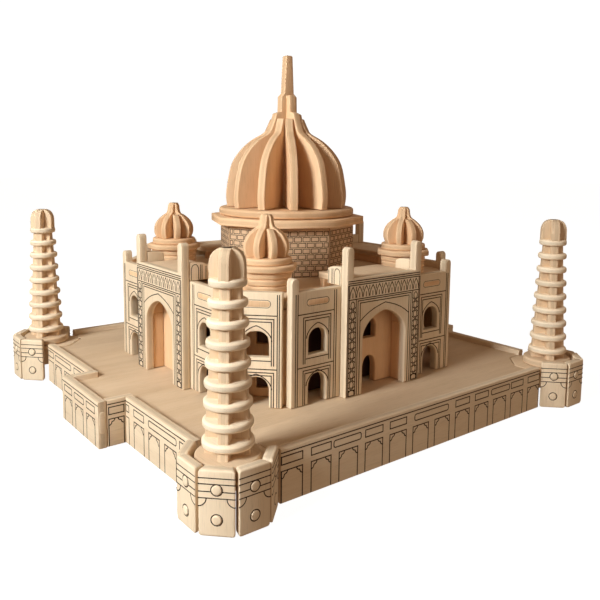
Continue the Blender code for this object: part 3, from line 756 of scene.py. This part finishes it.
for side, direction in SIDES.items():
    out, right = upright(direction, 0.0)[3], upright(direction, 0.0)[1]
    up = np.array([0.0, 0, 1])
    place = flat_at(*(out[:2] * head_low[0]), head_low[2], direction)
    outline = box_path(0.0, head_depth, -head_half, head_half)
    piece(f"portal_roof_{side}_board", [cut(outline, (), 3.0, place)], DECK_PLY, "facade_plywood",
          f"portal_roof_{side}")
    riser_foot, riser_rise = roof_high[2] + 0.1, head_low[2] - roof_high[2] - 0.2
    back = cut(box_path(-head_half + 0.5, head_half - 0.5, 0.0, riser_rise), (), 3.0,
               upright(direction + 180, -head_low[0] - 0.6, riser_foot, depth=3.0), 0.3)
    piece(f"portal_riser_{side}", [back], INNER_PLY, "facade_plywood")
    returns, strokes = [], []
    for hand in (-1, 1):
        start = out * (portal_face - 4.3) + right * hand * (portal_half - 3.9) + up * return_foot
        if hand > 0:
            wall_place = (start, -out, up, right)
            drawn, marks = return_outline, return_strokes
        else:
            wall_place = (start, out, up, -right)
            drawn = [(-x, y) for x, y in reversed(return_outline)]
            marks = [(path * (-1, 1), closed) for path, closed in return_strokes]
        returns.append(cut(drawn, (), 3.8, wall_place))
        strokes += burn(marks, moved(wall_place, z=3.8), 0.36)
    piece(f"portal_return_{side}_boards", returns, FACADE_PLY, "facade_plywood")
    piece(f"portal_return_{side}_lines", strokes, SOOT, "facade_plywood")

# ---- the drum -------------------------------------------------------------------------------------
# Eight boards on end carry the dome, burnt all over with courses of small bricks. An octagonal cornice
# plate lies on them, and on that a round plate with a deeply tumbled rim that the ribs plug into.
drum_low, drum_high = cad("drum")
drum_radius = drum_high[0]
drum_rise = drum_high[2] - drum_low[2]
drum_apothem = drum_radius * np.cos(np.pi / 8)
drum_half = drum_radius * np.sin(np.pi / 8) - 0.25
DRUM_PLY = plywood("drum_plywood_face", (0.66, 0.45, 0.28), (0.52, 0.33, 0.19))
course, brick = 2.95, 4.45
bricks = []
for row in range(int(drum_rise // course)):
    low = 0.5 + row * course
    edges = np.arange(-drum_half + 0.5 - (row % 2) * brick / 2, drum_half, brick)
    for left in edges:
        ends = np.clip((left, left + brick - 0.75), -drum_half + 0.5, drum_half - 0.5)
        if ends[1] - ends[0] > 0.9:
            bricks.append(ring(box_path(ends[0], ends[1], low, low + course - 0.75)))
drum_boards, drum_strokes = [], []
for direction in np.arange(22.5, 360, 45):
    place = upright(direction, drum_apothem, drum_low[2])
    drum_boards.append(cut(box_path(-drum_half, drum_half, 0.0, drum_rise), (), 4.0, place, taper=0.115))
    drum_strokes += burn(bricks, moved(place, z=4.0), 0.34)
piece("drum_boards", drum_boards, DRUM_PLY, "wall_plywood", "drum")
piece("drum_brick_lines", drum_strokes, SOOT, "wall_plywood")
cornice_low, cornice_high = cad("drum_cornice")
DOME_PLY = plywood("dome_plywood_face", (0.79, 0.53, 0.32), (0.68, 0.41, 0.22))
piece("drum_cornice_plate", [cut(circle(cornice_high[0], 8), (), 4.0, flat_at(0, 0, cornice_low[2]), 0.4)],
      DOME_PLY, "dome_plywood", "drum_cornice")
disc_low, disc_high = cad("dome_disc")
piece("dome_disc_plate", [cut(circle(disc_high[0], 72), (), 4.0, flat_at(0, 0, disc_low[2]), 1.3)], DOME_PLY,
      "dome_plywood", "dome_disc")

# ---- the dome -------------------------------------------------------------------------------------
# Twelve upright ribs of 4 mm plywood stand round the axis: two whole ones crossed by a half-lap, one of
# which runs up into the spire, and eight half ones between them that stop short of the middle.
rib_foot = cad("dome_rib_through_x")[0][2]
spire_top = cad("dome_rib_through_x")[1][2]
rib_corners = np.array([(32.2, rib_foot), (32.8, 105.7), (32.1, 112.5), (29.9, 122.6), (25.6, 129.6),
                        (19.7, 135.2), (13.6, 138.8), (12.0, 140.2)])
neck_corners = [(9.4, 145.8), (8.3, 149.6), (5.2, 150.6), (5.0, 158.6), (3.0, 160.4), (2.0, 179.6),
                (1.4, spire_top)]


def through(corners, count):
    """A smooth path through the corners: a Catmull-Rom curve, its ends doubled, read at even steps."""
    held = np.concatenate([corners[:1], corners, corners[-1:]])
    t = np.linspace(0, len(corners) - 1, count)
    i = np.minimum(t.astype(int), len(corners) - 2)
    t = (t - i)[:, None]
    a, b, c, d = (held[i + k] for k in range(4))
    bend, twist = 2 * a - 5 * b + 4 * c - d, 3 * b - a - 3 * c + d
    return 0.5 * (2 * b + (c - a) * t + bend * t ** 2 + twist * t ** 3)


dome_curve = np.minimum(through(rib_corners, 29), (32.8, 1000)).tolist()
whole_rib = both_sides([*dome_curve, *neck_corners])
lower_rib = both_sides([*dome_curve, *neck_corners[:4], (4.4, 159.3)])
half_rib = [(8.9, rib_foot), *dome_curve, (10.4, 143.6), (9.0, 146.8)]


def rib(name, outline, direction, *nodes):
    """A rib standing on the axis, its plane turned from X by the direction in degrees."""
    angle = np.radians(direction)
    across = np.array([np.cos(angle), np.sin(angle), 0.0])
    out = np.array([across[1], -across[0], 0.0])
    place = (out * -2.0, across, np.array([0.0, 0, 1]), out)
    piece(name, [cut(outline, (), 4.0, place, 0.35)], DOME_PLY, "dome_plywood", *nodes)


rib("dome_rib_tall", whole_rib, 0, "dome_rib_through_x")
rib("dome_rib_crossed", lower_rib, 90, "dome_rib_through_y")
for direction in (30, 60, 120, 150, 210, 240, 300, 330):
    rib(f"dome_rib_half_{direction:03d}", half_rib, direction, f"dome_half_rib_{direction:03d}")

# ---- the kiosks -----------------------------------------------------------------------------------
# A small dome stands at each corner of the roof: five plates of 3 mm plywood on one another, then two
# whole planks and two shorter ones crossed on the axis, each cut to the same swelling outline.
kiosk_low, kiosk_high = cad("kiosk_back_right")
kiosk = (kiosk_low[0] + kiosk_high[0]) / 2
kiosk_plates = ((11.9, 8), (12.2, 8), (12.5, 8), (14.6, 8), (11.7, 32))
kiosk_pitch = 3.05
kiosk_foot = kiosk_low[2] + kiosk_pitch * len(kiosk_plates)
kiosk_corners = np.array([(9.6, 0.0), (10.8, 3.2), (10.6, 6.4), (9.0, 9.6), (6.2, 12.2), (3.9, 13.8),
                          (3.1, 16.0), (2.9, 17.8), (1.9, kiosk_high[2] - kiosk_foot)]) + (0, kiosk_foot)
kiosk_curve = np.minimum(through(kiosk_corners, 28), (10.8, 1000))
for corner, (sign_x, sign_y) in TOWERS.items():
    middle = np.array([sign_x * kiosk, sign_y * kiosk, 0.0])
    plates = [cut(circle(radius, count, 180 / count), (), 3.0,
                  flat_at(*middle[:2], kiosk_low[2] + i * kiosk_pitch), 0.75)
              for i, (radius, count) in enumerate(kiosk_plates)]
    planks = []
    for direction in (30, 120, 75, 165):
        whole = direction % 90 == 30
        outline = both_sides(kiosk_curve if whole else kiosk_curve[kiosk_curve[:, 0] > 5.0])
        origin, *axes = upright(direction, 1.5, depth=3.0)
        planks.append(cut(outline, (), 3.0, (origin + middle, *axes), 0.35))
    piece(f"kiosk_{corner}_plates", plates, DOME_PLY, "dome_plywood", f"kiosk_{corner}")
    piece(f"kiosk_{corner}_planks", planks, DOME_PLY, "dome_plywood")

# ---- the studio -----------------------------------------------------------------------------------
# A white floor inside a white dome; a broad soft lamp from the left, weaker ones in front and behind,
# and warm light from all round.
def studio_white(name, paint, glow):
    """White paint that also glows a little, so that it stays white in the shade."""
    material = bpy.data.materials.new(name)
    material.use_nodes = True
    shader = material.node_tree.nodes["Principled BSDF"]
    shader.inputs["Roughness"].default_value = 0.9
    shader.inputs["Specular IOR Level"].default_value = 0.1
    shader.inputs["Emission Strength"].default_value = glow
    start = Wire(material.node_tree)
    speck = start.node("ShaderNodeTexCoord")[3].noise(1.5, 2.0, 0.5)
    speck.blend((paint, paint, paint, 1), (paint * 0.99,) * 3 + (1,)).feed(shader.inputs["Base Color"])
    speck.blend((1, 1, 1, 1), (0.99, 0.99, 0.99, 1)).feed(shader.inputs["Emission Color"])
    return material


def studio_surface(name, points, faces, material):
    mesh = bpy.data.meshes.new(name)
    mesh.from_pydata(points, [], faces)
    mesh.materials.append(material)
    made = bpy.data.objects.new(name, mesh)
    bpy.context.collection.objects.link(made)
    made.visible_diffuse = made.visible_glossy = made.visible_shadow = False


steps = np.radians(np.arange(0, 360, 10))
floor_ring = [(4.0 * np.cos(a), 4.0 * np.sin(a), -0.0005) for a in steps]
studio_surface("floor", floor_ring, [list(range(36))], studio_white("floor_white", 0.25, 0.96))
heights = np.radians(np.array((-4, 10, 25, 40, 55, 70, 82)))
shell = [(3.9 * np.cos(a) * np.cos(h), 3.9 * np.sin(a) * np.cos(h), 3.9 * np.sin(h))
         for h in heights for a in steps]
walls = [[k * 36 + i, k * 36 + (i + 1) % 36, (k + 1) * 36 + (i + 1) % 36, (k + 1) * 36 + i]
         for k in range(6) for i in range(36)]
studio_surface("backdrop", shell, walls + [list(range(216, 252))], studio_white("backdrop_white", 0.0, 1.05))

world = bpy.data.worlds.new("studio")
bpy.context.scene.world = world
world.use_nodes = True
sky = world.node_tree.nodes["Background"]
sky.inputs["Color"].default_value = (1.0, 0.72, 0.50, 1)
sky.inputs["Strength"].default_value = 0.25


def soft_lamp(name, place, size, power, colour):
    """A square lamp in metres, aimed at the middle of the model."""
    lamp = bpy.data.lights.new(name, "AREA")
    lamp.energy, lamp.size, lamp.color = power, size, colour
    made = bpy.data.objects.new(name, lamp)
    made.location = place
    made.rotation_euler = (Vector((0, 0, 0.06)) - Vector(place)).to_track_quat("-Z", "Y").to_euler()
    bpy.context.collection.objects.link(made)


soft_lamp("key_lamp", (-0.60, -0.10, 0.34), 0.20, 5.4, (0.90, 0.97, 1.0))
soft_lamp("fill_lamp", (0.15, -1.0, 0.30), 0.6, 0.9, (1.0, 0.80, 0.64))
soft_lamp("back_lamp", (0.75, 0.80, 0.16), 0.5, 0.6, (1.0, 0.84, 0.70))

camera_data = bpy.data.cameras.new("camera")
camera_data.lens = 40.79
camera_data.sensor_width = 36.0
camera_data.shift_y = -0.1
camera_data.clip_start = 0.01
camera = bpy.data.objects.new("camera", camera_data)
camera.location = (-0.2228, -0.2973, 0.1265)
camera.rotation_mode = "QUATERNION"
yaw, pitch, roll = np.radians((-38.02, 90 - 6.91, 0.58))
turn = Quaternion((0, 0, 1), yaw) @ Quaternion((1, 0, 0), pitch) @ Quaternion((0, 0, 1), roll)
camera.rotation_quaternion = turn
bpy.context.collection.objects.link(camera)
bpy.context.scene.camera = camera
bpy.context.scene.view_settings.view_transform = "Standard"
